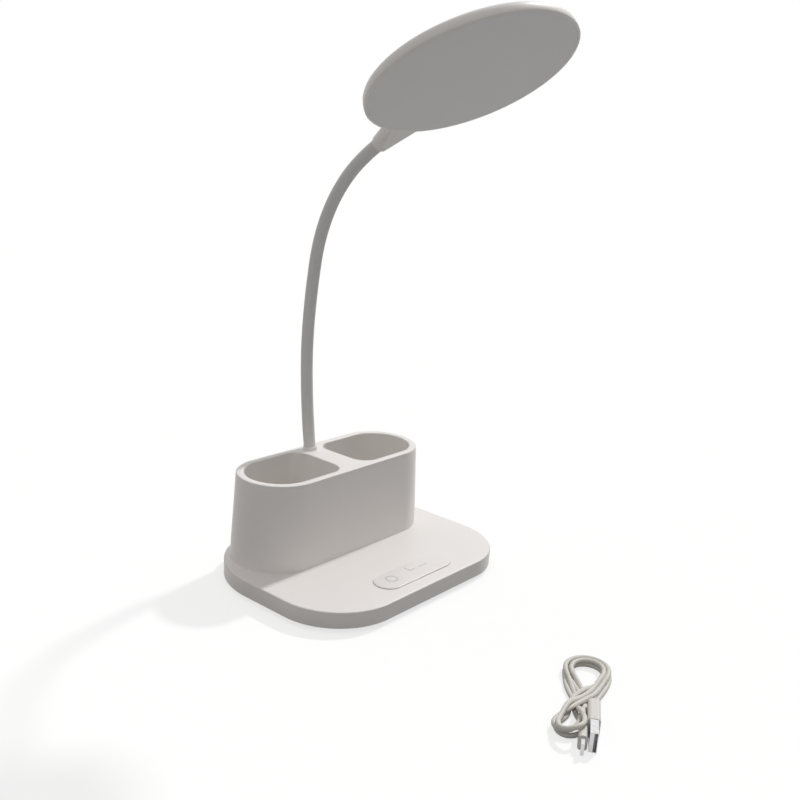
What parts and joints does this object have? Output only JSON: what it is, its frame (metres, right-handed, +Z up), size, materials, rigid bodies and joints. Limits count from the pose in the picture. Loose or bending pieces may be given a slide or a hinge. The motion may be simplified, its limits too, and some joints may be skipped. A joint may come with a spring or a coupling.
{
  "type": "desk lamp with pen holder",
  "caption": "Desk lamp: flat base with touch panel and divided pen holder, bendable neck and thin round light head, with a folded charging cable.",
  "frame": {"origin": "middle of the base's plan outline, on the table, under the middle rubber foot", "axes": "+X to the lamp's right as seen from the front, -Y to the front (touch panel side), +Z up"},
  "size_m": [0.19, 0.3147, 0.3797],
  "materials": {
    "housing_white": "fine satin moulded ABS",
    "holder_white": "fine satin moulded ABS",
    "panel_white": "semi-gloss touch panel",
    "cover_grey": "matt textured ABS",
    "foot_rubber": "matt rubber",
    "screw_zinc": "zinc plated",
    "ballast_steel": "cut sheet, plain",
    "board_green": "glass-fibre board",
    "board_white": "white-lacquered aluminium light board",
    "chip_black": "moulded parts",
    "cell_wrap": "shrink-wrapped lithium cell",
    "tape": "foam tape",
    "tin_steel": "tin plated",
    "collar_white": "white-lacquered collar",
    "goose_steel": "bright spring steel",
    "sleeve_white": "smooth matt silicone",
    "lead_white": "PVC insulation",
    "lead_red": "PVC insulation",
    "lead_black": "PVC insulation",
    "shell_white": "fine satin moulded ABS",
    "diffuser_white": "milk-white diffuser, unlit",
    "led_yellow": "phosphor",
    "cable_white": "soft PVC jacket",
    "plug_white": "over-moulded plug grip"
  },
  "bodies": {
    "base": {"base_housing": "housing_white", "bottom_cover": "cover_grey", "foot_pads": "foot_rubber", "cover_screws": "screw_zinc", "ballast_plate": "ballast_steel", "pen_holder": "holder_white", "holder_screws": "screw_zinc", "touch_panel": "panel_white", "touch_board": "board_green", "battery_cell": "cell_wrap", "battery_tape": "tape", "main_board": "board_green", "usb_socket": "tin_steel", "board_parts": "chip_black", "board_screws": "screw_zinc", "battery_lead": "lead_red", "touch_lead": "lead_black", "neck_foot": "collar_white", "neck_washer": "screw_zinc", "neck_nut": "screw_zinc", "neck_core_1": "goose_steel", "neck_sleeve_1": "sleeve_white", "neck_lead_1": "lead_white", "cable_bundle": "cable_white", "cable_tail_a": "cable_white", "cable_tail_b": "cable_white", "usb_plug_grip": "plug_white", "usb_plug_shell": "tin_steel", "lamp_plug_grip": "plug_white", "lamp_plug_shell": "tin_steel"},
    "neck_2": {"neck_core_2": "goose_steel", "neck_sleeve_2": "sleeve_white", "neck_lead_2": "lead_white"},
    "neck_3": {"neck_core_3": "goose_steel", "neck_sleeve_3": "sleeve_white", "neck_lead_3": "lead_white"},
    "neck_4": {"neck_core_4": "goose_steel", "neck_sleeve_4": "sleeve_white", "neck_lead_4": "lead_white"},
    "neck_5": {"neck_core_5": "goose_steel", "neck_sleeve_5": "sleeve_white", "neck_lead_5": "lead_white"},
    "neck_6": {"neck_core_6": "goose_steel", "neck_sleeve_6": "sleeve_white", "neck_lead_6": "lead_white"},
    "head": {"neck_core_7": "goose_steel", "neck_sleeve_7": "sleeve_white", "neck_lead_7": "lead_white", "neck_ferrule": "tin_steel", "head_socket": "shell_white", "head_shell": "shell_white", "head_wires": "lead_white", "led_board": "board_white", "led_chips": "led_yellow", "head_diffuser": "diffuser_white"}
  },
  "joints": [
    {"name": "neck_sideways_1", "type": "hinge", "parent": "base", "child": "neck_2", "pos_m": [0.00027, 0.0551, 0.08975], "axis": [-0.1032, -0.9823, 0.1564], "range_deg": [-20, 20]},
    {"name": "neck_forward_2", "type": "hinge", "parent": "neck_2", "child": "neck_3", "pos_m": [0.00077, 0.05982, 0.13147], "axis": [0.9945, -0.1045, 0], "range_deg": [-25, 25]},
    {"name": "neck_sideways_3", "type": "hinge", "parent": "neck_3", "child": "neck_4", "pos_m": [0.00077, 0.05982, 0.17344], "axis": [-0.1043, -0.9921, -0.0698], "range_deg": [-20, 20]},
    {"name": "neck_forward_4", "type": "hinge", "parent": "neck_4", "child": "neck_5", "pos_m": [0.00025, 0.05492, 0.21513], "axis": [0.9945, -0.1045, 0], "range_deg": [-25, 25]},
    {"name": "neck_sideways_5", "type": "hinge", "parent": "neck_5", "child": "neck_6", "pos_m": [-0.00122, 0.04088, 0.25445], "axis": [-0.0905, -0.8613, -0.5], "range_deg": [-20, 20]},
    {"name": "neck_forward_6", "type": "hinge", "parent": "neck_6", "child": "head", "pos_m": [-0.00407, 0.01377, 0.28608], "axis": [0.9945, -0.1045, 0], "range_deg": [-30, 25]}
  ]
}
